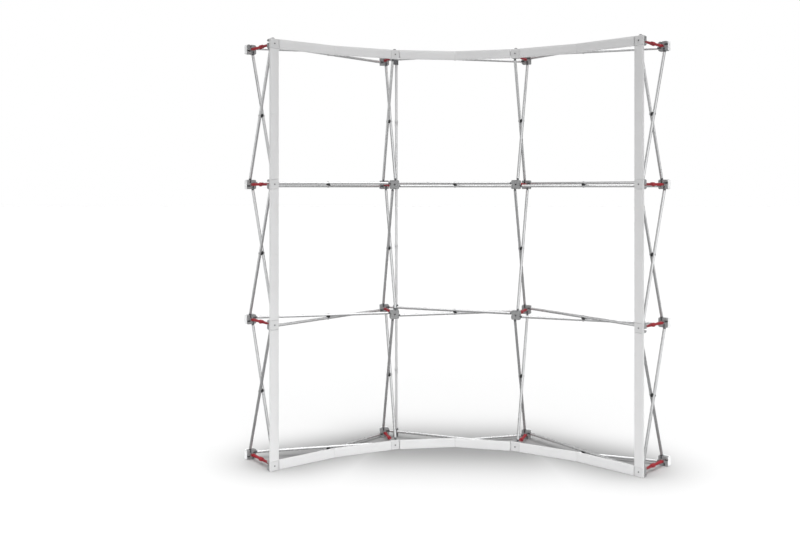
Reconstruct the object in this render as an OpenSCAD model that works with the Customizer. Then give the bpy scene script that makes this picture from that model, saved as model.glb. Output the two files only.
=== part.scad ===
// Curved pop up display backwall, opened and locked: a folding scissor frame of three by three bays.
// Every crossing pair of tubes joins two neighbouring hub pairs, a claw and a rod lock each pair
// at its depth, and flat folding bars with square caps run round the rim of the front.
// The middle bay turns more than the outer ones, and the tubes across all three are equally long.
// X runs along the wall, Y from the hollow front to the back and Z up. The floor is z = 0, and
// the origin is under the middle of the frame's box. Row 1 is the top row, column 1 the left one.

/* [Grid] */
// Height from one row of hubs to the next
row_pitch = 735; // [640:5:800]
// Turn of the wall across the middle bay, in degrees
middle_turn = 38.8; // [30:0.2:43]
// Turn of the wall across an outer bay, in degrees
outer_turn = 24; // [18:0.5:30]
// Distance between the middles of the front hubs of an outer bay
outer_w = 716; // [660:1:780]
// Distance from the pins of a front hub to the pins of its rear hub
frame_depth = 224; // [200:1:250]

/* [Hubs] */
// Width and height of a hub
hub_w = 51; // [50:0.5:58]
// Depth of the lugs that hold the tube ends
lug_depth = 18; // [16:1:24]
// Thickness of a hub's face plate
face_t = 5; // [4:0.5:8]
// Chamfer on the corners of a hub
hub_chamfer = 5; // [2:0.5:6]
// Width of the notch in the middle of each side of the face plate
notch_w = 15; // [8:1:20]
// Depth of that notch
notch_d = 4; // [2:0.5:6]
// Distance from the middle of a hub to the pins of its tubes
pin_reach = 17; // [16:0.5:18]
// Diameter of a hub pin
hub_pin_d = 4; // [3:0.5:5]
// Length of a hub pin
hub_pin_len = 18; // [14:1:18]
// Diameter of the bore in the middle of a hub's face
hub_bore_d = 10.5; // [8:0.5:11]
// Depth of that bore
hub_bore_depth = 12; // [9:0.5:13]
// Thickness of the wall between that bore and the seat of the lock rod
seat_wall = 3; // [2:0.5:5]
// Width of the round hanging lug on top of the front hubs of the top row
hanger_w = 24; // [20:1:30]
// Height of that lug above the hub
hanger_h = 8; // [4:0.5:9]

/* [Tubes] */
// Outer diameter of a tube
tube_d = 15; // [13:0.5:15.5]
// Wall of a tube
tube_wall = 1; // [0.8:0.1:2]
// Space between the two tubes of a crossing pair
tube_gap = 1; // [0.5:0.5:3]
// Distance from a hub's side to the end of the nearest tube, along that tube
tube_stand_off = 9; // [8:0.5:20]
// Thickness of the tongue of a tube plug
tongue_t = 8; // [6:0.5:8.5]
// Space beside a tongue in its slot
slot_gap = 0.5; // [0.2:0.1:0.6]
// Thickness of a plug's shoulder
shoulder_t = 2; // [1:0.5:3]
// Length of a plug's spigot inside its tube
spigot_len = 18; // [10:1:30]

/* [Pivots] */
// Diameter of the saddle between two crossing tubes
saddle_d = 22; // [18:1:26]
// Thickness of a saddle, which wraps both tubes
saddle_t = 13; // [8:0.5:14]
// Diameter of a pivot rivet
rivet_d = 4; // [3:0.5:5]
// Diameter of a rivet's heads
rivet_head_d = 9; // [7:0.5:11]
// Thickness of a rivet's heads
rivet_head_t = 1.5; // [1:0.25:3]

/* [Locks] */
// Distance from a rear hub's lugs to the pin of its claw
claw_stand_off = 7; // [6.5:0.5:10]
// Thickness of the hub's lug inside the fork
claw_lug_t = 6; // [4:0.5:7]
// Radius of the round ends of that lug and of the fork
claw_eye_r = 6; // [4.5:0.5:6]
// Diameter of a claw pin
claw_pin_d = 4; // [3:0.5:5]
// Diameter of a claw's arm
arm_d = 16; // [14:0.5:18]
// Diameter of the waist between the arm and the knuckle
waist_d = 13; // [10:0.5:15]
// Diameter of the knuckle
knuckle_d = 22; // [21.5:0.5:26]
// Length of the knuckle
knuckle_len = 32; // [30:1:40]
// Diameter of a lock rod
rod_d = 14; // [11:0.5:14.5]
// Diameter of the ball at the end of the rod
ball_d = 17; // [15.5:0.5:17.5]
// Distance of the ball ahead of the middle of the knuckle
ball_ahead = 4; // [2:0.5:5]
// Space between the claw and the rod and ball
lock_gap = 0.3; // [0.3:0.1:0.6]
// Diameter of the collar where the rod leaves its hub
collar_d = 17; // [15:0.5:18]
// Thickness of that collar
collar_t = 5; // [2:0.5:10]

/* [Caps and rim bars] */
// Depth of a hub cap and of a rim bar
cap_depth = 12; // [10:0.5:16]
// Bevel round the face of a cap
cap_bevel = 2; // [1:0.5:4]
// Thickness of the skirt that the rear caps have on the outer side of the wall
skirt_t = 2; // [1.5:0.5:4]
// Length of that skirt over the side of the hub
skirt_len = 14; // [8:1:22]
// Width of a rim bar
bar_w = 50; // [40:0.5:50]
// Width of the sloping edges of a rim bar
bar_bevel_w = 10; // [1:0.5:12]
// Height of those sloping edges
bar_bevel_h = 1.5; // [1:0.5:3]
// Wall of a rim bar
bar_wall = 2; // [1.2:0.1:2.5]
// Thickness of the closed ends of a rim bar
bar_end_wall = 3; // [2:0.5:6]
// Gap between a rim bar and the cap beside it
bar_end_gap = 0.6; // [0.3:0.1:2]
// Gap between the two halves of a rim bar
bar_mid_gap = 0.5; // [0.3:0.1:2]
// Width of the tab that hooks into a cap
tab_w = 20; // [12:1:22]
// Thickness of that tab
tab_t = 3; // [2:0.5:4]
// Length of that tab inside the cap
tab_len = 12; // [8:0.5:13]
// Radius of the knuckles of a bar's fold hinge
hinge_r = 4; // [3:0.5:6]
// Height of the middle knuckle, and of each outer one
hinge_h = 10; // [6:1:12]
// Gap between two knuckles
hinge_gap = 0.4; // [0.2:0.1:1]
// Diameter of the fold hinge's pin
hinge_pin_d = 4; // [2.5:0.5:4.5]
// Diameter of the screw shank in a front cap
screw_d = 4; // [3:0.5:5]
// Diameter of that screw's head
screw_head_d = 7; // [6:0.5:9]
// Thickness of that screw's head
screw_head_t = 1.5; // [1:0.25:2.5]

/* [Stabiliser] */
// Distance along the crossing tube from a rear hub's pin to a clip
clip_reach = 51; // [45:1:200]
// Height of a clip
clip_h = 44; // [40:1:70]
// Wall of a clip round its tubes
clip_wall = 2; // [1.5:0.5:4]
// Depth of the sockets for the strut's tubes
socket_depth = 10; // [6:0.5:14]
// Length of half a fold knuckle of the strut
elbow_len = 16; // [13:0.5:24]
// Space between the two halves of a fold knuckle, round its pin
elbow_gap = 2; // [1:0.5:4]
// Thickness of the tongue in the fold knuckle
elbow_tongue_t = 5; // [4:0.5:6]

/* [Fits] */
// Radial clearance of pins, rivets, spigots and bosses
fit_gap = 0.05; // [0.02:0.01:0.1]
// Clearance round a flat tab or tongue
flat_gap = 0.3; // [0.2:0.05:0.5]

/* [Hidden] */
COLUMNS = [1 : 4];
ROWS = [1 : 4];
BAYS = [1 : 3];
$fn = 48;

// cuts run this far past the faces they open
over = 1;
tube_r = tube_d / 2;
// half the distance between the two tubes of a crossing pair
tube_offset = (tube_d + tube_gap) / 2;
// distance from a hub pin to the end of its tube
plug_reach = hub_w / 2 - pin_reach + tube_stand_off;
spigot_r = tube_r - tube_wall - fit_gap;
slot_w = tongue_t + 2 * slot_gap;
// slots end this far from the middle of a hub
slot_floor = pin_reach - tube_r - 1;
rod_seat = lug_depth + face_t - hub_bore_depth - seat_wall;
// the faces of a front hub and of its cap, counted from the pins towards the viewer
face_y = lug_depth / 2 + face_t;
cap_y = face_y + cap_depth;
cap_boss_r = hub_bore_d / 2 - fit_gap;
cap_boss_len = hub_bore_depth / 2;
// the middle of the rim bars' depth, counted from the pins of the front hubs
bar_ahead = face_y + cap_depth / 2;
// the hinge of a claw and its knuckle, counted from the pins of the rear hub
claw_y = lug_depth / 2 + claw_stand_off;
claw_reach = frame_depth / 2 - claw_y;
ball_reach = claw_reach + ball_ahead;
ball_r = ball_d / 2;
pocket_r = ball_r + lock_gap;
channel_r = rod_d / 2 + lock_gap;
// the ball leaves along an arc, so its pocket is longer on the hinge side
pocket_slack = ball_reach * (1 - cos(asin((knuckle_d / 2 + ball_r) / ball_reach))) + lock_gap;
strut_y = tube_d + clip_wall;
hinge_y = cap_depth / 2 + 0.5 + hinge_r;

// angles of the columns, and the place of column 4 from the middle of the front of bay 2
inner_angle = middle_turn / 2;
outer_angle = inner_angle + outer_turn;
bay_slant = inner_angle + outer_turn / 2;
middle_w = pin_span(middle_turn) + 2 * pin_reach * cos(inner_angle);
corner_x = middle_w / 2 + outer_w * cos(bay_slant);
corner_y = -outer_w * sin(bay_slant);
// the lowest and highest Y of the frame, counted from there
front_edge = corner_y - max(
    cap_y * cos(outer_angle) + (hub_w / 2 - cap_bevel) * sin(outer_angle),
    (cap_y - cap_bevel) * cos(outer_angle) + hub_w / 2 * sin(outer_angle)
);
rear_edge = (frame_depth + cap_y) * cos(inner_angle) + (hub_w / 2 - cap_bevel) * sin(inner_angle);
wall_y = -(front_edge + rear_edge) / 2;

// how much farther apart the rear hubs of a bay are than its front hubs
function flare(turn) = 2 * frame_depth * sin(turn / 2);
// the distance between the front pins of a bay whose tubes are as long as those of an outer bay
function pin_span(turn) = let (
    span = outer_w - 2 * pin_reach * cos(outer_turn / 2),
    product = span * (span + flare(outer_turn))
) (sqrt(flare(turn) * flare(turn) + 4 * product) - flare(turn)) / 2;

function bay_turn(b) = b == 2 ? middle_turn : outer_turn;
function bay_w(b) = b == 2 ? middle_w : outer_w;
function side_of(c) = c < 2.5 ? -1 : 1;
function in_corner(c) = c == 1 || c == 4;
function row_z(r) = hub_w / 2 + (4 - r) * row_pitch;
function on_rim(c, r) = in_corner(c) || r == 1 || r == 4;

// pins of the horizontal tubes of a bay, seen from above: depth is 0 at the front hubs
function bay_pin(b, depth, side) = let (a = bay_turn(b) / 2) [
    side * (bay_w(b) / 2 + depth * sin(a) - pin_reach * cos(a)),
    depth * cos(a) + pin_reach * sin(a)
];
// pins of the vertical tubes between two rows: depth and height
function stack_pin(depth, upper, v) = [
    depth,
    upper ? row_z(v) - pin_reach : row_z(v + 1) + pin_reach
];
// half the distance between the caps of a bay, at the middle of the bars' depth
function bar_reach(b) = bay_w(b) / 2 - bar_ahead * sin(bay_turn(b) / 2);
function link_len(p, q) = norm(q - p);
// the crossing of the lines p q and s t, as a length from p
function crossing(p, q, s, t) = let (d = q - p, e = t - s, w = s - p)
    (w.x * e.y - w.y * e.x) / (d.x * e.y - d.y * e.x) * norm(d);

// a square outline with chamfered corners
function chamfered(w, c) = let (h = w / 2) [
    [-h + c, -h], [h - c, -h], [h, -h + c], [h, h - c],
    [h - c, h], [-h + c, h], [-h, h - c], [-h, -h + c]
];
// the same, with a notch in the middle of each side
function notched(w, c, nw, nd) = let (h = w / 2) [
    for (q = [0 : 3]) for (p = [[-h + c, -h], [-nw / 2, -h], [-nw / 2, -h + nd], [nw / 2, -h + nd], [nw / 2, -h], [h - c, -h]])
        [p.x * cos(90 * q) - p.y * sin(90 * q), p.x * sin(90 * q) + p.y * cos(90 * q)]
];
// section of a rim bar or a cap: depth first, then width
function bar_section(w, front, back, bevel_w, bevel_h) = [
    [back, -w / 2], [front + bevel_h, -w / 2], [front, -w / 2 + bevel_w],
    [front, w / 2 - bevel_w], [front + bevel_h, w / 2], [back, w / 2]
];

// ---- places ----

// a column's own frame has its origin at the pins of its front hubs and Y through its hub pairs
module in_column(c) translate([
    side_of(c) * (in_corner(c) ? corner_x : middle_w / 2), wall_y + (in_corner(c) ? corner_y : 0), 0
]) rotate([0, 0, -side_of(c) * (in_corner(c) ? outer_angle : inner_angle)]) children();
module at_front(c, r) in_column(c) translate([0, 0, row_z(r)]) children();
module at_rear(c, r) in_column(c) translate([0, frame_depth, row_z(r)]) children();
// a bay's own frame has its origin midway between its front hubs and X along them
module in_bay(b) translate([
    (b - 2) * (corner_x + middle_w / 2) / 2, wall_y + abs(b - 2) * corner_y / 2, 0
]) rotate([0, 0, -(b - 2) * bay_slant]) children();
// turns a drawing seen from above into one seen along the wall: X outwards, Y up, Z sideways
module upright() rotate([90, 0, 90]) children();
module between(p, q, w) translate([p.x, p.y, w]) rotate([0, 0, atan2(q.y - p.y, q.x - p.x)]) children();
// an outline in X and Z, from y to y + t
module slab(y, t) translate([0, y + t, 0]) rotate([90, 0, 0]) linear_extrude(t) children();
module rod_x(r, x0, x1) translate([x0, 0, 0]) rotate([0, 90, 0]) cylinder(r = r, h = x1 - x0);
module rod_y(r, y0, y1) translate([0, y0, 0]) rotate([-90, 0, 0]) cylinder(r = r, h = y1 - y0);
module rod_z(r, z0, z1) translate([0, 0, z0]) cylinder(r = r, h = z1 - z0);
module block(x0, x1, y0, y1, z0, z1) translate([x0, y0, z0]) cube([x1 - x0, y1 - y0, z1 - z0]);

// places its child at the two pins of both tubes of the vertical pair v in a column
module vertical_links(v) {
    near_top = stack_pin(0, true, v);
    near_low = stack_pin(0, false, v);
    far_top = stack_pin(frame_depth, true, v);
    far_low = stack_pin(frame_depth, false, v);
    $link = link_len(far_top, near_low);
    $cross = crossing(far_top, near_low, near_top, far_low);
    upright() {
        between(far_top, near_low, tube_offset) children();
        between(far_low, near_top, -tube_offset) children();
    }
}

// the same for the horizontal pair of a bay
module horizontal_links(b, r) {
    near_left = bay_pin(b, 0, -1);
    near_right = bay_pin(b, 0, 1);
    far_left = bay_pin(b, frame_depth, -1);
    far_right = bay_pin(b, frame_depth, 1);
    $link = link_len(far_left, near_right);
    $cross = crossing(far_left, near_right, near_left, far_right);
    translate([0, 0, row_z(r)]) {
        between(far_left, near_right, tube_offset) children();
        between(far_right, near_left, -tube_offset) children();
    }
}

module all_vertical_links() for (c = COLUMNS) in_column(c) for (v = BAYS) vertical_links(v) children();
module all_horizontal_links() for (b = BAYS) in_bay(b) for (r = ROWS) horizontal_links(b, r) children();

// ---- hubs ----

// one moulding for front and rear: its face looks along -Y, and its four slots are alike
module hub_body(front, hanger) {
    difference() {
        union() {
            slab(-lug_depth / 2, lug_depth) polygon(chamfered(hub_w, hub_chamfer));
            slab(-face_y, face_t) polygon(notched(hub_w, hub_chamfer, notch_w, notch_d));
            if (hanger) translate([0, 0, (hub_w - hanger_w) / 2 + hanger_h])
                rod_y(hanger_w / 2, -lug_depth / 2, lug_depth / 2);
        }
        for (q = [0 : 3]) rotate([0, 90 * q, 0]) {
            block(
                tube_offset - slot_w / 2, tube_offset + slot_w / 2,
                -lug_depth / 2, lug_depth / 2 + over, slot_floor, hub_w / 2 + over
            );
            translate([0, 0, pin_reach])
                rod_x(hub_pin_d / 2 + fit_gap, tube_offset - hub_pin_len / 2, hub_w / 2 + over);
        }
        rod_y(hub_bore_d / 2, -face_y - over, -face_y + hub_bore_depth);
        if (front) rod_y(rod_d / 2 + fit_gap, lug_depth / 2 - rod_seat, lug_depth / 2 + over);
    }
}

module front_hubs(c) color("#8e8f90") for (r = ROWS) at_front(c, r) hub_body(true, r == 1);

// a rear hub faces +Y, and the lug of its claw takes the place of the rod's seat
module rear_hubs(c) color("#8e8f90") for (r = ROWS) at_rear(c, r) {
    difference() {
        union() {
            rotate([0, 0, 180]) hub_body(false, false);
            block(-claw_lug_t / 2, claw_lug_t / 2, -claw_y, over - lug_depth / 2, -claw_eye_r, claw_eye_r);
            translate([0, -claw_y, 0]) rod_x(claw_eye_r, -claw_lug_t / 2, claw_lug_t / 2);
        }
        translate([0, -claw_y, 0]) rod_x(claw_pin_d / 2 + fit_gap, -claw_lug_t, claw_lug_t);
    }
}

// ---- tubes, plugs, pins and pivots ----

// a tube from its link's first pin, which has the rivet's hole at the crossing
module link_tube() difference() {
    rod_x(tube_r, plug_reach, $link - plug_reach);
    rod_x(tube_r - tube_wall, plug_reach - over, $link - plug_reach + over);
    translate([$cross, 0, 0]) rod_z(rivet_d / 2 + fit_gap, -tube_d, tube_d);
}

module plug() difference() {
    union() {
        rod_z(tube_r, -tongue_t / 2, tongue_t / 2);
        block(0, plug_reach - shoulder_t, -tube_r, tube_r, -tongue_t / 2, tongue_t / 2);
        rod_x(tube_r, plug_reach - shoulder_t, plug_reach);
        rod_x(spigot_r, plug_reach, plug_reach + spigot_len);
    }
    rod_z(hub_pin_d / 2 + fit_gap, -tube_d, tube_d);
}

module both_ends() {
    children();
    translate([$link, 0, 0]) rotate([0, 0, 180]) children();
}

module vertical_tubes(c) color("#a9abad") in_column(c) for (v = BAYS) vertical_links(v) link_tube();
module horizontal_tubes(r) color("#a9abad") for (b = BAYS) in_bay(b) horizontal_links(b, r) link_tube();
module hub_pin() rod_z(hub_pin_d / 2, -hub_pin_len / 2, hub_pin_len / 2);

module vertical_tube_plugs() color("#4a4b4d") all_vertical_links() both_ends() plug();
module horizontal_tube_plugs() color("#4a4b4d") all_horizontal_links() both_ends() plug();
module vertical_hub_pins() color("#c4c6c8") all_vertical_links() both_ends() hub_pin();
module horizontal_hub_pins() color("#c4c6c8") all_horizontal_links() both_ends() hub_pin();

// runs its child once at every crossing, with Z along the rivet
module at_crossings() {
    for (c = COLUMNS) in_column(c) for (v = BAYS) {
        p = stack_pin(frame_depth, true, v);
        q = stack_pin(0, false, v);
        s = stack_pin(0, true, v);
        t = stack_pin(frame_depth, false, v);
        $slope = atan2(q.y - p.y, q.x - p.x);
        $other = atan2(t.y - s.y, t.x - s.x);
        o = p + (q - p) / norm(q - p) * crossing(p, q, s, t);
        upright() translate([o.x, o.y, 0]) children();
    }
    for (b = BAYS) in_bay(b) for (r = ROWS) {
        p = bay_pin(b, frame_depth, -1);
        q = bay_pin(b, 0, 1);
        s = bay_pin(b, 0, -1);
        t = bay_pin(b, frame_depth, 1);
        $slope = atan2(q.y - p.y, q.x - p.x);
        $other = atan2(t.y - s.y, t.x - s.x);
        o = p + (q - p) / norm(q - p) * crossing(p, q, s, t);
        translate([o.x, o.y, row_z(r)]) children();
    }
}

module pivot_saddles() color("#1b1b1c") at_crossings() difference() {
    rod_z(saddle_d / 2, -saddle_t / 2, saddle_t / 2);
    rotate([0, 0, $slope]) translate([0, 0, tube_offset]) rod_x(tube_r + fit_gap, -saddle_d, saddle_d);
    rotate([0, 0, $other]) translate([0, 0, -tube_offset]) rod_x(tube_r + fit_gap, -saddle_d, saddle_d);
    rod_z(rivet_d / 2 + fit_gap, -saddle_t, saddle_t);
}

module pivot_rivets() color("#2a2a2b") at_crossings() {
    reach = tube_offset + tube_r;
    rod_z(rivet_d / 2, -reach, reach);
    for (m = [0, 1]) mirror([0, 0, m]) rod_z(rivet_head_d / 2, reach, reach + rivet_head_t);
}

// ---- locks ----

// the rod of a lock from its front hub to the ball inside the claw
module lock_rods() color("#8c1f2e") for (c = COLUMNS) for (r = ROWS) at_rear(c, r) {
    hub_back = -frame_depth + lug_depth / 2;
    ball_y = -claw_y - ball_reach;
    rod_y(rod_d / 2, hub_back - rod_seat, ball_y);
    rod_y(collar_d / 2, hub_back, hub_back + collar_t);
    translate([0, ball_y, 0]) sphere(ball_r);
}

module lock_pins() color("#c4c6c8") for (c = COLUMNS) for (r = ROWS)
    at_rear(c, r) translate([0, -claw_y, 0]) rod_x(claw_pin_d / 2, -arm_d / 2, arm_d / 2);

// a claw along +Z from its hinge: arm, waist and knuckle turned in one piece
function claw_profile() = let (
    k0 = claw_reach - knuckle_len / 2,
    k1 = claw_reach + knuckle_len / 2,
    ramp = (knuckle_d - waist_d) / 2
) [
    [0, claw_eye_r], [arm_d / 2, claw_eye_r + 3], [arm_d / 2, k0 * 0.45], [waist_d / 2, k0 - 8],
    [waist_d / 2, k0 - 2], [knuckle_d / 2, k0 - 2 + ramp], [knuckle_d / 2, k1 - 6],
    [channel_r + 2, k1], [0, k1]
];

module lock_claw(c, r) color("#b3202f") at_rear(c, r) translate([0, -claw_y, 0]) difference() {
    union() {
        rotate([90, 0, 0]) rotate_extrude() polygon(claw_profile());
        block(-arm_d / 2, arm_d / 2, -2 * claw_eye_r, 0, -claw_eye_r, claw_eye_r);
        rod_x(claw_eye_r, -arm_d / 2, arm_d / 2);
    }
    // the fork, the pin's bore and the open underside that drops over the rod
    block(
        -claw_lug_t / 2 - lock_gap, claw_lug_t / 2 + lock_gap,
        -claw_eye_r - 1.5, 2 * claw_eye_r, -arm_d, arm_d
    );
    rod_x(claw_pin_d / 2 + fit_gap, -arm_d, arm_d);
    translate([0, -ball_reach, 0]) {
        rod_y(channel_r, -knuckle_len, 0);
        block(-channel_r, channel_r, -knuckle_len, 0, -knuckle_d, 0);
        sphere(pocket_r);
        rod_z(pocket_r, -knuckle_d, 0);
        block(-pocket_r, pocket_r, 0, pocket_slack, -knuckle_d, -1);
        translate([0, pocket_slack, 0]) rod_z(pocket_r, -knuckle_d, -1);
    }
}

// ---- caps ----

// the sides of a hub that a rim bar reaches: 0 is +X, 90 up, 180 -X and 270 down
function bar_sides(c, r) = concat(
    (r == 1 || r == 4) && c < 4 ? [0] : [],
    in_corner(c) && r > 1 ? [90] : [],
    (r == 1 || r == 4) && c > 1 ? [180] : [],
    in_corner(c) && r < 4 ? [270] : []
);

// a square cap on a face that looks along -Y, with a boss in the hub's bore
module cap_body() {
    profile = bar_section(hub_w, -cap_y, -face_y, cap_bevel, cap_bevel);
    intersection() {
        linear_extrude(hub_w, center = true) polygon([for (p = profile) [p.y, p.x]]);
        rotate([90, 0, 90]) linear_extrude(hub_w, center = true) polygon(profile);
        slab(-cap_y, cap_depth) polygon(chamfered(hub_w, cap_bevel));
    }
    rod_y(cap_boss_r, -face_y - cap_depth / 2, -face_y + cap_boss_len);
}

module front_caps() color("#b9babb") for (c = COLUMNS) for (r = ROWS) if (on_rim(c, r)) at_front(c, r)
    difference() {
        cap_body();
        for (side = bar_sides(c, r)) rotate([0, -side, 0]) translate([0, -face_y - cap_depth / 2, 0])
            block(
                hub_w / 2 - tab_len - flat_gap, hub_w / 2 + over, -tab_t / 2 - flat_gap,
                tab_t / 2 + flat_gap, -tab_w / 2 - flat_gap, tab_w / 2 + flat_gap
            );
        rod_y(screw_d / 2 + fit_gap, -cap_y - over, -face_y + cap_boss_len + over);
    }

// at the ends of the wall a skirt closes the empty slot in the outer side of the hub
module rear_caps() color("#dcdddd") for (c = COLUMNS) for (r = ROWS)
    at_rear(c, r) rotate([0, 0, 180]) {
        cap_body();
        if (in_corner(c)) mirror([c == 1 ? 0 : 1, 0, 0]) {
            block(
                hub_w / 2 - cap_bevel - over, hub_w / 2 + skirt_t,
                cap_bevel - cap_y, -face_y, cap_bevel - hub_w / 2, hub_w / 2 - cap_bevel
            );
            block(
                hub_w / 2 + fit_gap, hub_w / 2 + skirt_t,
                -face_y - over, skirt_len - face_y, cap_bevel - hub_w / 2, hub_w / 2 - cap_bevel
            );
        }
    }

module cap_screws() color("#3a3a3c") for (c = COLUMNS) for (r = ROWS) if (on_rim(c, r)) at_front(c, r) {
    rod_y(screw_d / 2, -cap_y, -face_y + cap_boss_len);
    rod_y(screw_head_d / 2, -cap_y - screw_head_t, -cap_y);
}

// ---- rim bars ----

// half of a rim bar: X runs from the fold hinge at the origin to the middle of a hub, Y is its
// depth and Z its width. kink is the angle between this half and the cap that it hooks into.
module half_bar(len, kink, knuckle_spans) {
    start = bar_mid_gap / 2 + cap_depth / 2 * tan(kink);
    end = len - (hub_w / 2 + bar_end_gap + cap_depth / 2 * sin(kink)) / cos(kink);
    half = cap_depth / 2;
    difference() {
        translate([start, 0, 0]) rotate([90, 0, 90]) linear_extrude(end - start)
            polygon(bar_section(bar_w, -half, half, bar_bevel_w, bar_bevel_h));
        translate([start + bar_end_wall, 0, 0]) rotate([90, 0, 90])
            linear_extrude(end - start - 2 * bar_end_wall)
            polygon(bar_section(bar_w - 2 * bar_wall, bar_wall - half, half + over, bar_bevel_w, bar_bevel_h));
    }
    translate([len, 0, 0]) rotate([0, 0, -kink]) block(
        -hub_w / 2 - bar_end_gap - bar_end_wall, tab_len - hub_w / 2, -tab_t / 2, tab_t / 2, -tab_w / 2, tab_w / 2
    );
    // each knuckle stands on a web behind the closed end of the bar
    axle = hinge_y * [-sin(kink), cos(kink)];
    shoulder = axle + hinge_r * [cos(40), sin(40)];
    foot = half - bar_wall;
    for (span = knuckle_spans) difference() {
        union() {
            translate([axle.x, axle.y, 0]) rod_z(hinge_r, span[0], span[1]);
            translate([0, 0, span[0]]) linear_extrude(span[1] - span[0])
                polygon([[start, foot], [start + bar_end_wall + hinge_r, foot], shoulder, axle]);
        }
        translate([axle.x, axle.y, 0]) rod_z(hinge_pin_d / 2 + fit_gap, span[0] - over, span[1] + over);
    }
}

// both halves of a bar about its fold hinge; the halves lean back from the hinge by kink
module folding_bar(len, kink) {
    inner = hinge_h / 2;
    outer = inner + hinge_gap + hinge_h;
    rotate([0, 0, -kink]) half_bar(len, kink, [[-inner, inner]]);
    mirror([1, 0, 0]) rotate([0, 0, -kink])
        half_bar(len, kink, [[inner + hinge_gap, outer], [-outer, -inner - hinge_gap]]);
}

// where the fold hinges of the bars are: in a bay of a row, or in a column between two rows
module at_row_bar(b, r) in_bay(b) translate([
    0, bar_reach(b) * tan(bay_turn(b) / 4) - bar_ahead * cos(bay_turn(b) / 2), row_z(r)
]) children();
module at_side_bar(c, v) in_column(c) translate([0, -bar_ahead, row_z(v) - row_pitch / 2])
    rotate([0, -90, 0]) children();

module row_bar(b, r) color("#d3d4d4") at_row_bar(b, r)
    folding_bar(bar_reach(b) / cos(bay_turn(b) / 4), bay_turn(b) / 4);
module side_bar(c, v) color("#d3d4d4") at_side_bar(c, v) folding_bar(row_pitch / 2, 0);

module bar_hinge_pins() color("#c4c6c8") {
    half_len = hinge_h * 1.5 + hinge_gap;
    for (b = BAYS) for (r = [1, 4]) at_row_bar(b, r)
        translate([0, hinge_y, 0]) rod_z(hinge_pin_d / 2, -half_len, half_len);
    for (c = [1, 4]) for (v = BAYS) at_side_bar(c, v)
        translate([0, hinge_y, 0]) rod_z(hinge_pin_d / 2, -half_len, half_len);
}

// ---- the folding strut behind column 2 ----

// X runs along the crossing tube from the rear hub's side, with the origin at the clip
module at_clip(r) in_bay(2) translate([0, 0, row_z(r)])
    between(bay_pin(2, frame_depth, -1), bay_pin(2, 0, 1), 0) translate([clip_reach, 0, 0]) children();

module stabiliser_clips() color("#55575a") for (r = ROWS) at_clip(r) {
    wrap = tube_r + clip_wall;
    difference() {
        block(-wrap, wrap, -wrap, strut_y + wrap, -clip_h / 2, clip_h / 2);
        translate([0, 0, tube_offset]) rod_x(tube_r + fit_gap, -2 * wrap, 2 * wrap);
        translate([0, strut_y, 0]) {
            if (r > 1) rod_z(tube_r + fit_gap, clip_h / 2 - socket_depth, clip_h);
            if (r < 4) rod_z(tube_r + fit_gap, -clip_h, socket_depth - clip_h / 2);
        }
    }
}

// places its child at the fold of the strut in each bay
module at_folds() for (v = BAYS) at_clip(v) translate([0, strut_y, -row_pitch / 2]) children();

module stabiliser_tubes() color("#b4b6b8") at_folds() {
    reach = (row_pitch - clip_h) / 2 + socket_depth;
    for (m = [0, 1]) mirror([0, 0, m]) difference() {
        rod_z(tube_r, elbow_len, reach);
        rod_z(tube_r - tube_wall, elbow_len - over, reach + over);
    }
}

// the fold: a tongue on the lower tube between the two cheeks on the upper one
module stabiliser_elbows() color("#2a2a2b") at_folds() for (upper = [true, false])
    mirror([0, 0, upper ? 0 : 1]) difference() {
        tongue = elbow_tongue_t / 2;
        collar_z = tube_r + elbow_gap;
        union() {
            rod_z(spigot_r, elbow_len, elbow_len + spigot_len);
            rod_z(tube_r + clip_wall, collar_z, elbow_len);
            difference() {
                union() {
                    rod_y(tube_r, -tube_r, tube_r);
                    block(-tube_r, tube_r, -tube_r, tube_r, 0, collar_z + over);
                }
                if (upper) block(-tube_d, tube_d, -tongue - flat_gap, tongue + flat_gap, -tube_d, collar_z);
                else for (m = [0, 1]) mirror([0, m, 0])
                    block(-tube_d, tube_d, tongue, tube_d, -tube_d, collar_z);
            }
        }
        rod_y(rivet_d / 2 + fit_gap, -tube_d, tube_d);
    }

module stabiliser_pins() color("#c4c6c8") at_folds() rod_y(rivet_d / 2, -tube_r, tube_r);

for (c = COLUMNS) front_hubs(c);
for (c = COLUMNS) rear_hubs(c);
for (c = COLUMNS) vertical_tubes(c);
for (r = ROWS) horizontal_tubes(r);
vertical_tube_plugs();
horizontal_tube_plugs();
vertical_hub_pins();
horizontal_hub_pins();
pivot_saddles();
pivot_rivets();
front_caps();
rear_caps();
cap_screws();
for (b = BAYS) row_bar(b, 1);
for (b = BAYS) row_bar(b, 4);
for (b = BAYS) side_bar(1, b);
for (b = BAYS) side_bar(4, b);
bar_hinge_pins();
lock_rods();
lock_pins();
for (c = COLUMNS) for (r = ROWS) lock_claw(c, r);
stabiliser_clips();
stabiliser_tubes();
stabiliser_elbows();
stabiliser_pins();
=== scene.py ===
"""Looks of a curved pop up display backwall: its finishes, soft edges, studio and camera."""

import logging
import math
from dataclasses import dataclass
from enum import Enum
from typing import Any, Protocol

import bpy
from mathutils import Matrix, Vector

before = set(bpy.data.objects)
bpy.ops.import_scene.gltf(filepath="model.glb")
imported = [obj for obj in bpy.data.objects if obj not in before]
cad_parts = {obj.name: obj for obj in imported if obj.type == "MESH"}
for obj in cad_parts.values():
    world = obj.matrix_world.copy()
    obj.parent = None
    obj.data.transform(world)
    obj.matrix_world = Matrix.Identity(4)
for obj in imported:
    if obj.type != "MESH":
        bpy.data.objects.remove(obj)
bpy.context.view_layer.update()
MM = 0.001

log = logging.getLogger("backwall")

Triple = tuple[float, float, float]
Rgba = tuple[float, float, float, float]


# ---- shader maths ----


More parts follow.
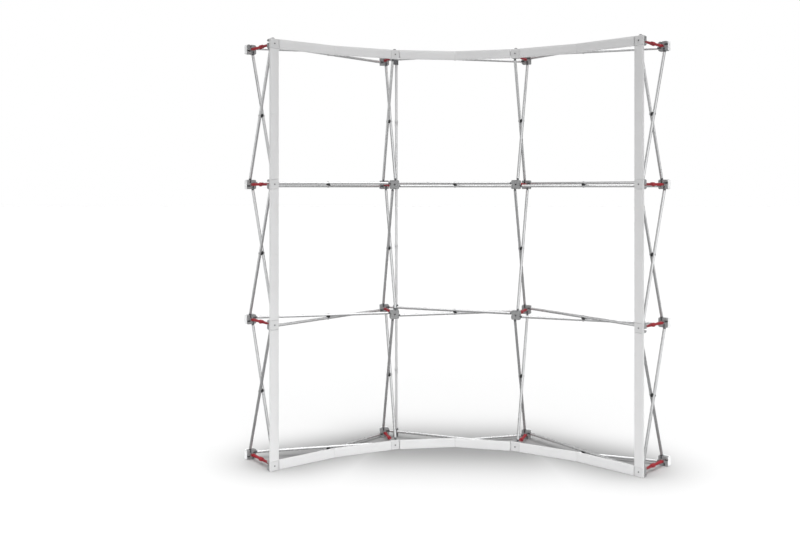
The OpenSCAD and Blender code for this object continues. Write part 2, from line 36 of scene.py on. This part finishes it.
class Operation(Enum):
    """The maths that an expression on sockets can ask for."""

    ADD = "ADD"
    SUBTRACT = "SUBTRACT"
    MULTIPLY = "MULTIPLY"
    DIVIDE = "DIVIDE"
    POWER = "POWER"
    MAXIMUM = "MAXIMUM"
    MINIMUM = "MINIMUM"
    ABSOLUTE = "ABSOLUTE"


class Ray(Enum):
    """The kinds of ray that the studio tells apart."""

    CAMERA = "Is Camera Ray"
    GLOSS = "Is Glossy Ray"
    GLASS = "Is Transmission Ray"


class Wire:
    """One output socket of a material, on which ordinary arithmetic adds Math nodes."""

    def __init__(self, graph: "Graph", socket: bpy.types.NodeSocket) -> None:
        """Wraps a socket.

        Args:
            graph: the material's graph, which adds the Math nodes.
            socket: the output that this value comes from.
        """
        self.graph = graph
        self.socket = socket

    def maths(self, operation: Operation, *values: "Wire | float") -> "Wire":
        """Adds one Math node.

        Args:
            operation: what the node works out.
            values: its inputs, in order.

        Returns:
            The node's result.
        """
        inputs = dict(enumerate(values))
        return self.graph.node("ShaderNodeMath", {"operation": operation.value}, inputs)

    def __add__(self, other: "Wire | float") -> "Wire":
        """Adds two values."""
        return self.maths(Operation.ADD, self, other)

    __radd__ = __add__

    def __sub__(self, other: "Wire | float") -> "Wire":
        """Takes the other value away."""
        return self.maths(Operation.SUBTRACT, self, other)

    def __rsub__(self, other: float) -> "Wire":
        """Takes this value away from a number."""
        return self.maths(Operation.SUBTRACT, other, self)

    def __mul__(self, other: "Wire | float") -> "Wire":
        """Multiplies two values."""
        return self.maths(Operation.MULTIPLY, self, other)

    def __truediv__(self, other: "Wire | float") -> "Wire":
        """Divides by the other value."""
        return self.maths(Operation.DIVIDE, self, other)

    def __pow__(self, other: "Wire | float") -> "Wire":
        """Raises this value to a power."""
        return self.maths(Operation.POWER, self, other)

    def __rpow__(self, other: float) -> "Wire":
        """Raises a number to this value."""
        return self.maths(Operation.POWER, other, self)

    def __abs__(self) -> "Wire":
        """Drops the sign."""
        return self.maths(Operation.ABSOLUTE, self)

    def at_least(self, other: "Wire | float") -> "Wire":
        """Takes the larger of two values."""
        return self.maths(Operation.MAXIMUM, self, other)

    def at_most(self, other: "Wire | float") -> "Wire":
        """Takes the smaller of two values."""
        return self.maths(Operation.MINIMUM, self, other)


class Graph:
    """The node tree of one material or of the world.

    Attributes:
        MIX_INPUTS: the Mix node's sockets for its factor and its two colours.
        MIX_RESULT: its output for the mixed colour.
        NOISE_MEAN: the value that every noise lies round.
    """

    MIX_INPUTS = (0, 6, 7)
    MIX_RESULT = 2
    NOISE_MEAN = 0.5

    def __init__(self, tree: bpy.types.NodeTree) -> None:
        """Clears a tree to build on.

        Args:
            tree: the node tree.
        """
        self.tree = tree
        tree.nodes.clear()

    def node(
        self,
        kind: str,
        settings: dict[str, Any] | None = None,
        inputs: dict[str | int, Any] | None = None,
        output: str | int = 0,
    ) -> Wire:
        """Adds a node of any type that has an output.

        Args:
            kind: Blender's name of the node's type.
            settings: the node's own properties.
            inputs: a value or a wire for each socket, by name or number.
            output: the output that is wanted.

        Returns:
            That output as a wire.
        """
        made = self.tree.nodes.new(kind)
        for name, value in (settings or {}).items():
            setattr(made, name, value)
        for name, value in (inputs or {}).items():
            if isinstance(value, Wire):
                self.tree.links.new(value.socket, made.inputs[name])
            else:
                made.inputs[name].default_value = value
        return Wire(self, made.outputs[output])

    def end(self, kind: str, surface: Wire) -> None:
        """Joins the last shader to the tree's output.

        Args:
            kind: Blender's name of the output node's type.
            surface: the shader.
        """
        made = self.tree.nodes.new(kind)
        self.tree.links.new(surface.socket, made.inputs["Surface"])

    def place(self, stretch: Triple = (1.0, 1.0, 1.0)) -> Wire:
        """Gives the place on the object in metres, stretched along the axes."""
        here = self.node("ShaderNodeTexCoord", output="Object")
        settings = {"vector_type": "POINT"}
        return self.node("ShaderNodeMapping", settings, {"Vector": here, "Scale": stretch})

    def noise(self, place: Wire, scale: float, detail: float = 3.0, rough: float = 0.5) -> Wire:
        """Adds a noise of about 0 to 1 round its mean.

        Args:
            place: where on the object it is read.
            scale: waves per metre.
            detail: octaves.
            rough: how strong the fine octaves are.

        Returns:
            The noise's value.
        """
        inputs = {"Vector": place, "Scale": scale, "Detail": detail, "Roughness": rough}
        return self.node("ShaderNodeTexNoise", {"noise_dimensions": "3D"}, inputs)

    def patches(self, noise: Wire, start: float, full: float) -> Wire:
        """Turns a noise into soft patches with a grey ramp.

        Args:
            noise: the noise.
            start: its level where a patch begins.
            full: its level where the patch is full.

        Returns:
            0 outside the patches and 1 within them.
        """
        patch = self.node("ShaderNodeValToRGB", None, {0: noise})
        stops = patch.socket.node.color_ramp.elements
        for stop, position, level in zip(stops, (start, full), (0.0, 1.0)):
            stop.position = position
            stop.color = grey(level)
        return patch

    def slope(self, value: Wire, start: float, end: float, first: float, last: float) -> Wire:
        """Goes from one level to another while a value goes from a start to an end.

        Args:
            value: the value.
            start: where the slope starts.
            end: where it ends.
            first: the level up to the start.
            last: the level from the end on.

        Returns:
            The level.
        """
        inputs = dict(enumerate((value, start, end, first, last)))
        return self.node("ShaderNodeMapRange", None, inputs)

    def blend(self, factor: Wire | float, low: Wire | Rgba, high: Wire | Rgba) -> Wire:
        """Mixes two colours.

        Args:
            factor: 0 for the first colour, 1 for the second.
            low: the first colour.
            high: the second colour.

        Returns:
            The mixed colour.
        """
        settings = {"data_type": "RGBA", "blend_type": "MIX"}
        inputs = dict(zip(self.MIX_INPUTS, (factor, low, high)))
        return self.node("ShaderNodeMix", settings, inputs, output=self.MIX_RESULT)

    def vary(self, noise: Wire, colour: Triple, share: float) -> Wire:
        """Makes a colour darker and lighter by a share of itself, as a noise goes from 0 to 1."""
        return self.blend(noise, tinted(colour, 1 - share), tinted(colour, 1 + share))

    def mix(self, factor: Wire, first: Wire, second: Wire) -> Wire:
        """Mixes two shaders: a factor of 0 gives the first, and 1 the second."""
        return self.node("ShaderNodeMixShader", None, dict(enumerate((factor, first, second))))

    def bump(self, height: Wire, distance: float, strength: float) -> Wire:
        """Turns a height into a bump.

        Args:
            height: the height, from 0 to 1.
            distance: how high that 1 is, in metres.
            strength: how strong the bump is.

        Returns:
            The bumped normal.
        """
        inputs = {"Strength": strength, "Distance": distance, "Height": height}
        return self.node("ShaderNodeBump", None, inputs)

    def shade(self, inputs: dict[str | int, Any]) -> None:
        """Ends the tree in one shader with the given inputs."""
        shader = self.node("ShaderNodeBsdfPrincipled", None, inputs)
        self.end("ShaderNodeOutputMaterial", shader)

    def diffuse(self, colour: Wire | Rgba) -> Wire:
        """Gives a matt shader."""
        return self.node("ShaderNodeBsdfDiffuse", None, {"Color": colour})

    def glow(self, strength: Wire | float) -> Wire:
        """Gives a white background of a strength."""
        return self.node("ShaderNodeBackground", None, {"Strength": strength, "Color": grey(1.0)})

    def is_ray(self, ray: Ray) -> Wire:
        """Is 1 for one kind of ray, and 0 for the others."""
        return self.node("ShaderNodeLightPath", output=ray.value)

    def is_look(self) -> Wire:
        """Is 1 for a ray that looks straight, in gloss or through glass."""
        camera, gloss, glass = (self.is_ray(ray) for ray in Ray)
        return camera.at_least(gloss).at_least(glass)


def grey(level: float) -> Rgba:
    """Makes a grey with a full alpha."""
    return (level, level, level, 1.0)


def tinted(colour: Triple, share: float) -> Rgba:
    """Makes a colour lighter or darker by a share of itself."""
    red, green, blue = (min(1.0, part * share) for part in colour)
    return (red, green, blue, 1.0)


# ---- finishes ----


class Finish(Protocol):
    """What every finish offers."""

    name: str

    def make(self) -> bpy.types.Material:
        """Builds the material."""


def new_material(name: str) -> tuple[bpy.types.Material, Graph]:
    """Starts a material with an empty tree.

    Args:
        name: the material's name.

    Returns:
        The material and its graph.
    """
    material = bpy.data.materials.new(name)
    material.use_nodes = True
    return material, Graph(material.node_tree)


@dataclass(frozen=True)
class MouldedPlastic:
    """Injection moulded plastic: a faint cloudiness, a fine grain and rubbed spots.

    Attributes:
        name: the finish's name.
        colour: linear base colour.
        roughness: its mean roughness.
        cloud: how much lighter and darker the colour gets.
        cloud_scale: clouds per metre.
        cloud_rough: how much rougher and smoother the clouds are.
        grain: height of the moulded grain, in metres.
        grain_scale: grains per metre.
        grain_strength: how strong the grain's bump is.
        rub: how much smoother and lighter the rubbed spots are.
        rub_scale: spots per metre.
        rub_light: colour of a fully rubbed spot, as a share of the base colour.
        rub_smooth: how much of the rub is taken off the roughness.
        index: index of refraction.
    """

    name: str
    colour: Triple
    roughness: float = 0.5
    cloud: float = 0.06
    cloud_scale: float = 14.0
    cloud_rough: float = 0.12
    grain: float = 0.08 * MM
    grain_scale: float = 900.0
    grain_strength: float = 0.35
    rub: float = 0.12
    rub_scale: float = 55.0
    rub_light: float = 1.5
    rub_smooth: float = 0.6
    index: float = 1.47

    def make(self) -> bpy.types.Material:
        """Builds the material."""
        material, graph = new_material(self.name)
        place = graph.place()
        clouds = graph.noise(place, self.cloud_scale, detail=4.0)
        rubbed = graph.noise(place, self.rub_scale, detail=6.0, rough=0.62)
        rubbed = graph.patches(rubbed, start=0.52, full=0.72)
        grain = graph.noise(place, self.grain_scale, detail=2.0)
        colour = graph.vary(clouds, self.colour, self.cloud)
        colour = graph.blend(rubbed * self.rub, colour, tinted(self.colour, self.rub_light))
        roughness = self.roughness + (clouds - graph.NOISE_MEAN) * self.cloud_rough
        graph.shade({
            "Base Color": colour,
            "Roughness": roughness - rubbed * (self.rub * self.rub_smooth),
            "Normal": graph.bump(grain, self.grain, self.grain_strength),
            "IOR": self.index,
        })
        return material


@dataclass(frozen=True)
class ExtrudedPlastic:
    """Extruded bar stock: drawn lines along it, faint scuffs, and a satin face.

    Attributes:
        name: the finish's name.
        colour: linear base colour.
        stretch: how the noise is stretched, so that its lines run along the bar.
        roughness: its mean roughness.
        cloud: how much lighter and darker the colour gets.
        cloud_scale: clouds per metre.
        line_height: height of the drawn lines, in metres.
        line_scale: lines per metre across the bar.
        line_rough: how much rougher and smoother the lines are.
        line_strength: how strong the lines' bump is.
        scuff: how strong the scuffs' colour is.
        scuff_scale: scuffs per metre across the bar.
        scuff_dark: colour of a full scuff, as a share of the base colour.
        scuff_rough: how much rougher a full scuff is.
        index: index of refraction.
    """

    name: str
    colour: Triple
    stretch: Triple
    roughness: float = 0.42
    cloud: float = 0.035
    cloud_scale: float = 5.0
    line_height: float = 0.06 * MM
    line_scale: float = 240.0
    line_rough: float = 0.16
    line_strength: float = 0.3
    scuff: float = 0.16
    scuff_scale: float = 70.0
    scuff_dark: float = 0.72
    scuff_rough: float = 0.1
    index: float = 1.49

    def make(self) -> bpy.types.Material:
        """Builds the material."""
        material, graph = new_material(self.name)
        along = graph.place(self.stretch)
        lines = graph.noise(along, self.line_scale, detail=3.0)
        clouds = graph.noise(graph.place(), self.cloud_scale, detail=3.0)
        scuffs = graph.noise(along, self.scuff_scale, detail=7.0, rough=0.7)
        scuffs = graph.patches(scuffs, start=0.6, full=0.78)
        colour = graph.vary(clouds, self.colour, self.cloud)
        colour = graph.blend(scuffs * self.scuff, colour, tinted(self.colour, self.scuff_dark))
        roughness = self.roughness + (lines - graph.NOISE_MEAN) * self.line_rough
        graph.shade({
            "Base Color": colour,
            "Roughness": roughness + scuffs * self.scuff_rough,
            "Normal": graph.bump(lines, self.line_height, self.line_strength),
            "IOR": self.index,
        })
        return material


@dataclass(frozen=True)
class DrawnAluminium:
    """Drawn and anodised aluminium tube, with die lines along it and small dulled patches.

    Attributes:
        name: the finish's name.
        colour: linear base colour.
        stretch: how the noise is stretched, so that the die lines run along the tube.
        roughness: its mean roughness.
        metallic: how metallic the anodised skin looks.
        line_height: height of the die lines, in metres.
        line_scale: lines per metre round the tube.
        line_dark: colour between the lines, as a share of the base colour.
        line_light: colour on the lines, as a share of the base colour.
        line_rough: how much rougher and smoother the lines are.
        line_strength: how strong the lines' bump is.
        dull: how strong the dulled patches are.
        dull_scale: patches per metre.
        dull_dark: colour of a dulled patch, as a share of the base colour.
        dull_rough: how much rougher the patches are.
        dull_metallic: how much less metallic they are.
    """

    name: str
    colour: Triple
    stretch: Triple
    roughness: float = 0.28
    metallic: float = 1.0
    line_height: float = 0.01 * MM
    line_scale: float = 700.0
    line_dark: float = 0.9
    line_light: float = 1.08
    line_rough: float = 0.2
    line_strength: float = 0.12
    dull: float = 0.3
    dull_scale: float = 22.0
    dull_dark: float = 0.8
    dull_rough: float = 0.12
    dull_metallic: float = 0.1

    def make(self) -> bpy.types.Material:
        """Builds the material."""
        material, graph = new_material(self.name)
        lines = graph.noise(graph.place(self.stretch), self.line_scale, detail=4.0, rough=0.6)
        dulled = graph.noise(graph.place(), self.dull_scale, detail=5.0, rough=0.6)
        dark, light = tinted(self.colour, self.line_dark), tinted(self.colour, self.line_light)
        colour = graph.blend(lines, dark, light)
        colour = graph.blend(dulled * self.dull, colour, tinted(self.colour, self.dull_dark))
        roughness = self.roughness + (lines - graph.NOISE_MEAN) * self.line_rough
        graph.shade({
            "Base Color": colour,
            "Roughness": roughness + (dulled - graph.NOISE_MEAN) * self.dull_rough,
            "Metallic": self.metallic - (dulled - graph.NOISE_MEAN) * self.dull_metallic,
            "Normal": graph.bump(lines, self.line_height, self.line_strength),
        })
        return material


@dataclass(frozen=True)
class TurnedSteel:
    """Turned steel of pins and screws.

    Attributes:
        name: the finish's name.
        colour: linear base colour.
        roughness: its mean roughness.
        wear: how much lighter and darker the wear makes it.
        wear_scale: worn specks per metre.
        wear_rough: how much rougher and smoother the specks are.
    """

    name: str
    colour: Triple
    roughness: float = 0.3
    wear: float = 0.15
    wear_scale: float = 900.0
    wear_rough: float = 0.2

    def make(self) -> bpy.types.Material:
        """Builds the material."""
        material, graph = new_material(self.name)
        worn = graph.noise(graph.place(), self.wear_scale, detail=3.0)
        graph.shade({
            "Base Color": graph.vary(worn, self.colour, self.wear),
            "Roughness": self.roughness + (worn - graph.NOISE_MEAN) * self.wear_rough,
            "Metallic": 1.0,
        })
        return material


@dataclass(frozen=True)
class GlossyPlastic:
    """Coloured plastic with a shine, as the locks have.

    Attributes:
        name: the finish's name.
        colour: linear base colour.
        roughness: its mean roughness.
        coat: weight of the smooth skin, of which the scuffs take half.
        coat_roughness: roughness of that skin.
        cloud: how much lighter and darker the colour gets.
        cloud_scale: clouds per metre.
        cloud_rough: how much rougher and smoother the clouds are.
        scuff: how strong the scuffs' colour is.
        scuff_scale: scuffs per metre.
        scuff_light: colour of a full scuff, as a share of the base colour.
        scuff_rough: how much rougher a full scuff is.
        scuff_height: height of the scuffs, in metres.
        scuff_strength: how strong their bump is.
    """

    name: str
    colour: Triple
    roughness: float = 0.36
    coat: float = 0.25
    coat_roughness: float = 0.12
    cloud: float = 0.12
    cloud_scale: float = 30.0
    cloud_rough: float = 0.1
    scuff: float = 0.2
    scuff_scale: float = 160.0
    scuff_light: float = 1.5
    scuff_rough: float = 0.18
    scuff_height: float = 0.05 * MM
    scuff_strength: float = 0.2

    def make(self) -> bpy.types.Material:
        """Builds the material."""
        material, graph = new_material(self.name)
        place = graph.place()
        clouds = graph.noise(place, self.cloud_scale, detail=4.0)
        scuffs = graph.noise(place, self.scuff_scale, detail=6.0, rough=0.65)
        scuffs = graph.patches(scuffs, start=0.55, full=0.75)
        colour = graph.vary(clouds, self.colour, self.cloud)
        colour = graph.blend(scuffs * self.scuff, colour, tinted(self.colour, self.scuff_light))
        roughness = self.roughness + scuffs * self.scuff_rough
        graph.shade({
            "Base Color": colour,
            "Roughness": roughness + (clouds - graph.NOISE_MEAN) * self.cloud_rough,
            "Normal": graph.bump(scuffs, self.scuff_height, self.scuff_strength),
            "Coat Weight": self.coat - scuffs * (self.coat / 2),
            "Coat Roughness": self.coat_roughness,
        })
        return material


# The stretch of a noise whose lines run along upright and along level stock.
UPRIGHT = (1.0, 1.0, 0.02)
LEVEL = (0.06, 0.06, 1.0)


class Palette:
    """Every finish of the frame, made once."""

    def __init__(self) -> None:
        """Builds the materials."""
        finishes: list[Finish] = [
            MouldedPlastic("hub_grey", (0.27, 0.273, 0.276), 0.46),
            MouldedPlastic("plug_dark_grey", (0.09, 0.092, 0.098), 0.5),
            MouldedPlastic("pivot_black", (0.02, 0.02, 0.021), 0.42, cloud=0.15),
            MouldedPlastic("cap_grey", (0.62, 0.62, 0.623), 0.5, rub=0.06),
            MouldedPlastic("rear_cap_pale", (0.86, 0.865, 0.87), 0.5, rub=0.05),
            MouldedPlastic("clip_grey", (0.13, 0.132, 0.138), 0.48),
            ExtrudedPlastic("bar_pale_level", (0.68, 0.68, 0.683), LEVEL),
            ExtrudedPlastic("bar_pale_upright", (0.68, 0.68, 0.683), UPRIGHT),
            # Painted light and shade: the level and upright tubes are one tube stock, given a
            # lighter colour where it lies level and a darker one where it stands upright.
            DrawnAluminium("tube_silver_level_painted_light", (0.8, 0.803, 0.807), LEVEL),
            DrawnAluminium("tube_silver_upright_painted_shade", (0.68, 0.685, 0.69), UPRIGHT),
            DrawnAluminium("strut_silver", (0.78, 0.782, 0.785), UPRIGHT, 0.34, 0.45),
            TurnedSteel("pin_steel", (0.6, 0.6, 0.6)),
            TurnedSteel("screw_steel", (0.12, 0.12, 0.125), 0.4),
            GlossyPlastic("lock_red", (0.28, 0.004, 0.012), 0.42, coat=0.1),
            GlossyPlastic("rod_red", (0.24, 0.004, 0.011), 0.44, coat=0.1),
        ]
        self.materials = {finish.name: finish.make() for finish in finishes}

    def __getitem__(self, name: str) -> bpy.types.Material:
        """Gives a material by its finish's name."""
        return self.materials[name]


# ---- the pieces of the frame ----


@dataclass
class Dressing:
    """How the solids of some nodes are finished.

    Attributes:
        nodes: the nodes' names, up to their column, row or bay.
        finish: the finish's name.
        edge: radius of the rounded edges, in metres, or 0 to leave them sharp. It is less
            where a piece's shortest edges leave no room for it.
        WELD_REACH: how near two corners are to be one, in metres.
        SHARP: the least angle of an edge that is rounded, in degrees.
        EDGE_STEPS: how many faces a rounded edge has.
    """

    nodes: str
    finish: str
    edge: float = 0.0

    WELD_REACH = 0.002 * MM
    SHARP = 32
    EDGE_STEPS = 2

    def dress(self, palette: Palette) -> None:
        """Gives each of the nodes its material and rounded edges.

        Args:
            palette: the finishes.
        """
        for name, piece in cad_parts.items():
            if not name.startswith(self.nodes):
                continue
            piece.data.materials.clear()
            piece.data.materials.append(palette[self.finish])
            if self.edge:
                self.round_edges(piece)
            log.info("%s is finished in %s", name, self.finish)

    def round_edges(self, piece: bpy.types.Object) -> None:
        """Rounds the sharp edges of a piece.

        Args:
            piece: the piece's object.
        """
        weld = piece.modifiers.new("weld", "WELD")
        weld.merge_threshold = self.WELD_REACH
        bevel = piece.modifiers.new("edges", "BEVEL")
        bevel.limit_method = "ANGLE"
        bevel.angle_limit = math.radians(self.SHARP)
        bevel.width = self.edge
        bevel.segments = self.EDGE_STEPS
        bevel.use_clamp_overlap = True
        bevel.harden_normals = True


DRESSINGS = [
    Dressing("front_hubs", "hub_grey", 0.6 * MM),
    Dressing("rear_hubs", "hub_grey", 0.6 * MM),
    # The tubes' two colours are painted light and shade by how each tube lies, not two different
    # metals.
    Dressing("vertical_tubes", "tube_silver_upright_painted_shade"),
    Dressing("horizontal_tubes", "tube_silver_level_painted_light"),
    Dressing("vertical_tube_plugs", "plug_dark_grey"),
    Dressing("horizontal_tube_plugs", "plug_dark_grey"),
    Dressing("vertical_hub_pins", "pin_steel"),
    Dressing("horizontal_hub_pins", "pin_steel"),
    Dressing("pivot_saddles", "pivot_black", 0.8 * MM),
    Dressing("pivot_rivets", "pin_steel", 0.8 * MM),
    Dressing("front_caps", "cap_grey", 0.6 * MM),
    Dressing("rear_caps", "rear_cap_pale", 0.6 * MM),
    Dressing("cap_screws", "screw_steel", 0.8 * MM),
    Dressing("top_bar", "bar_pale_level", 0.5 * MM),
    Dressing("bottom_bar", "bar_pale_level", 0.5 * MM),
    Dressing("left_bar", "bar_pale_upright", 0.5 * MM),
    Dressing("right_bar", "bar_pale_upright", 0.5 * MM),
    Dressing("bar_hinge_pins", "pin_steel"),
    Dressing("lock_rods", "rod_red", 0.6 * MM),
    Dressing("lock_claw", "lock_red", 0.5 * MM),
    Dressing("lock_pins", "pin_steel"),
    Dressing("stabiliser_clips", "clip_grey", 0.6 * MM),
    Dressing("stabiliser_tubes", "strut_silver"),
    Dressing("stabiliser_elbows", "strut_silver"),
    Dressing("stabiliser_pins", "pivot_black"),
]


# ---- studio and camera ----


def face_along(lamp: bpy.types.Object, heading: Triple) -> None:
    """Turns a lamp so that its light goes in a direction."""
    lamp.rotation_euler = Vector(heading).to_track_quat("-Z", "Y").to_euler()


@dataclass(frozen=True)
class Sun:
    """A wide, distant lamp.

    Attributes:
        name: the lamp's name.
        heading: the direction that its light goes in.
        spread: how wide the lamp looks from the object, in degrees.
        strength: its strength, in watts per square metre.
        in_gloss: whether gloss shows it.
    """

    name: str
    heading: Triple
    spread: float
    strength: float
    in_gloss: bool = True

    def hang(self) -> None:
        """Adds the lamp to the scene."""
        data = bpy.data.lights.new(self.name, "SUN")
        data.energy = self.strength
        data.angle = math.radians(self.spread)
        lamp = bpy.data.objects.new(self.name, data)
        face_along(lamp, self.heading)
        lamp.visible_glossy = self.in_gloss
        bpy.context.scene.collection.objects.link(lamp)


@dataclass(frozen=True)
class Softbox:
    """A square softbox near the frame, which makes the lights along its tubes.

    Attributes:
        name: the softbox's name.
        place: the middle of its face, in metres.
        heading: the direction that it faces.
        glow: how bright its face is, where 1 is white.
        side: its side, in metres.
    """

    name: str
    place: Triple
    heading: Triple
    glow: float = 1.0
    side: float = 2.2

    def stand(self) -> None:
        """Adds the softbox to the scene."""
        data = bpy.data.lights.new(self.name, "AREA")
        data.shape = "SQUARE"
        data.size = self.side
        data.energy = self.glow * math.pi * self.side**2
        lamp = bpy.data.objects.new(self.name, data)
        lamp.location = self.place
        face_along(lamp, self.heading)
        lamp.visible_camera = False
        bpy.context.scene.collection.objects.link(lamp)


STRAIGHT_DOWN = (0.02, 0.05, -1.0)

# The light from above is in two lamps, because gloss shows only about half of it.
SUNS = [
    Sun("overhead", STRAIGHT_DOWN, spread=55.0, strength=1.25, in_gloss=False),
    Sun("overhead_glossy", STRAIGHT_DOWN, spread=55.0, strength=1.3),
    Sun("key", (-0.75, 1.0, -0.45), spread=70.0, strength=0.6),
]

SOFTBOXES = [
    Softbox("softbox_left", (-2.9, -1.4, 1.25), (1.0, 0.2, 0.0)),
    Softbox("softbox_right", (2.9, -1.4, 1.25), (-1.0, 0.2, 0.0)),
    Softbox("softbox_front", (0.0, -4.2, 1.2), (0.0, 1.0, 0.0)),
]


@dataclass
class Studio:
    """A white floor that keeps shadows and has a painted shadow along the frame's foot, a white
    surround and soft lamps.

    Attributes:
        floor_reach: half the floor's side, in metres.
        floor_white: the floor's colour near the frame, as it is looked at.
        floor_white_far: its colour further off, where less light falls.
        floor_near: how much light the floor throws up close to the frame.
        floor_far: how much it throws up further off.
        floor_dim: colour of the floor, as gloss shows it.
        near_to: how far from the middle the near floor goes, in metres.
        far_from: where the far floor starts, in metres.
        foot_dark: how much darker the painted shadow makes the floor along the frame's foot, as
            in the photograph.
        foot_middle: how wide that soft band is along the middle bay, in metres.
        foot_outer: how wide it is along the outer bays, in metres.
        foot_corner: where the band turns from the middle bay to an outer bay, in metres.
        foot_tip: where it ends, in metres.
        foot_straight: half the length of its straight middle, in metres.
        foot_back: how far back that straight middle lies, in metres.
        fill: strength of the surround as a light.
        dim: brightness of the unlit parts of the studio, as gloss shows them.
        band_glow: brightness of the lit band above the horizon, as gloss shows it.
        band_start: heights of a direction between which the band gets its light, where 0 is
            level and 1 is straight up.
        band_end: heights between which it loses most of it again.
        band_above: how much of it is left above the band.
    """

    floor_reach: float = 60.0
    floor_white: float = 0.745
    floor_white_far: float = 0.8
    floor_near: float = 0.92
    floor_far: float = 0.25
    floor_dim: float = 0.28
    near_to: float = 1.6
    far_from: float = 4.0
    foot_dark: float = 0.6
    foot_middle: float = 0.36
    foot_outer: float = 0.27
    foot_corner: tuple[float, float] = (0.42, 0.19)
    foot_tip: tuple[float, float] = (0.89, -0.1)
    foot_straight: float = 0.34
    foot_back: float = 0.125
    fill: float = 0.42
    dim: float = 0.15
    band_glow: float = 0.95
    band_start: tuple[float, float] = (0.3, 0.4)
    band_end: tuple[float, float] = (0.55, 0.68)
    band_above: float = 0.3

    def build(self) -> None:
        """Makes the floor, the surround and the lamps."""
        self.make_floor()
        self.make_surround()
        for sun in SUNS:
            sun.hang()
        for softbox in SOFTBOXES:
            softbox.stand()

    def make_floor(self) -> None:
        """Makes the floor, which looks white, still takes soft shadows and has a painted shadow
        along the frame's foot.
        """
        reach = self.floor_reach
        mesh = bpy.data.meshes.new("floor")
        corners = [(-reach, -reach, 0), (reach, -reach, 0), (reach, reach, 0), (-reach, reach, 0)]
        mesh.from_pydata(corners, [], [(0, 1, 2, 3)])
        floor = bpy.data.objects.new("floor", mesh)
        bpy.context.scene.collection.objects.link(floor)
        mesh.materials.append(self.floor_paint())

    def floor_paint(self) -> bpy.types.Material:
        """Makes the floor's material.

        Returns:
            The material, which is one white to look at with a painted shadow along the frame's
            foot, another as a light and dim in gloss.
        """
        material, graph = new_material("floor_white")
        length = {"operation": "LENGTH"}
        away = graph.node("ShaderNodeVectorMath", length, {0: graph.place()}, "Value")
        near = graph.slope(away, self.near_to, self.far_from, 1.0, 0.0)
        thrown = graph.blend(near, grey(self.floor_far), grey(self.floor_near))
        white = graph.blend(near, grey(self.floor_white_far), grey(self.floor_white))
        # Painted shadow: the floor's colour is darkened in a soft band along the frame's foot.
        white = graph.blend(self.painted_foot_shadow(graph) * self.foot_dark, white, grey(0.0))
        surface = graph.mix(graph.is_look(), graph.diffuse(thrown), graph.diffuse(white))
        unlit = graph.diffuse(grey(self.floor_dim))
        graph.end("ShaderNodeOutputMaterial", graph.mix(graph.is_ray(Ray.GLOSS), surface, unlit))
        return material

    def painted_foot_shadow(self, graph: Graph) -> Wire:
        """Works out the painted shadow along the line that the frame stands on, by which the
        floor's colour is darkened.

        Args:
            graph: the floor's graph.

        Returns:
            1 on that line, fading to 0 away from it.
        """
        corner, tip = self.foot_corner, self.foot_tip
        run = math.dist(corner, tip)
        along = ((tip[0] - corner[0]) / run, (tip[1] - corner[1]) / run)
        aside = abs(graph.node("ShaderNodeSeparateXYZ", None, {0: graph.place()}, "X"))
        back = graph.node("ShaderNodeSeparateXYZ", None, {0: graph.place()}, "Y")
        across, ahead = aside - corner[0], back - corner[1]
        travelled = (across * along[0] + ahead * along[1]).at_least(0.0).at_most(run)
        outer = (across - travelled * along[0]) ** 2 + (ahead - travelled * along[1]) ** 2
        middle = (aside - self.foot_straight).at_least(0.0) ** 2 + (back - self.foot_back) ** 2
        away = (outer / self.foot_outer**2).at_most(middle / self.foot_middle**2)
        return math.e ** (away * -1.0)

    def make_surround(self) -> None:
        """Makes the world: white to look at, a studio in gloss, and an even light elsewhere."""
        world = bpy.data.worlds.new("surround")
        bpy.context.scene.world = world
        world.use_nodes = True
        graph = Graph(world.node_tree)
        seen = graph.mix(graph.is_look(), graph.glow(self.fill), graph.glow(1.0))
        shown = graph.glow(self.shown_by_gloss(graph))
        graph.end("ShaderNodeOutputWorld", graph.mix(graph.is_ray(Ray.GLOSS), seen, shown))

    def shown_by_gloss(self, graph: Graph) -> Wire:
        """Works out the studio's brightness in a direction: a lit band round it, else dim.

        Args:
            graph: the world's graph.

        Returns:
            The brightness.
        """
        direction = graph.node("ShaderNodeTexCoord", output="Generated")
        height = graph.node("ShaderNodeSeparateXYZ", None, {0: direction}, "Z")
        below = graph.slope(height, *self.band_start, 0.0, 1.0)
        above = graph.slope(height, *self.band_end, 1.0, self.band_above)
        return below * above * (self.band_glow - self.dim) + self.dim


@dataclass
class Photographer:
    """The camera, as fitted to the photograph.

    Attributes:
        place: where the lens is, in metres.
        turn: how far it looks to the left, in degrees.
        lens: focal length, in millimetres.
        film: width of the film, in millimetres.
        aside: shift of the film to the left, as a share of its width.
        drop: downward shift of the film, as a share of its width.
        sight: how far it sees, in metres.
    """

    place: Triple = (0.0153, -4.4223, 1.4734)
    turn: float = 2.697
    lens: float = 35.82
    film: float = 36.0
    aside: float = 0.0252
    drop: float = 0.0981
    sight: float = 200.0

    def build(self) -> None:
        """Makes the camera and sets how the picture is developed."""
        data = bpy.data.cameras.new("camera")
        data.sensor_width = self.film
        data.lens = self.lens
        data.shift_x = -self.aside
        data.shift_y = -self.drop
        data.clip_end = self.sight
        camera = bpy.data.objects.new("camera", data)
        camera.location = self.place
        camera.rotation_euler = (math.radians(90), 0.0, math.radians(self.turn))
        bpy.context.scene.collection.objects.link(camera)
        bpy.context.scene.camera = camera
        bpy.context.scene.view_settings.view_transform = "Standard"


def main() -> None:
    """Builds everything in order."""
    logging.basicConfig(level=logging.INFO, format="%(message)s")
    Photographer().build()
    palette = Palette()
    for dressing in DRESSINGS:
        dressing.dress(palette)
    Studio().build()


if __name__ == "__main__":
    main()
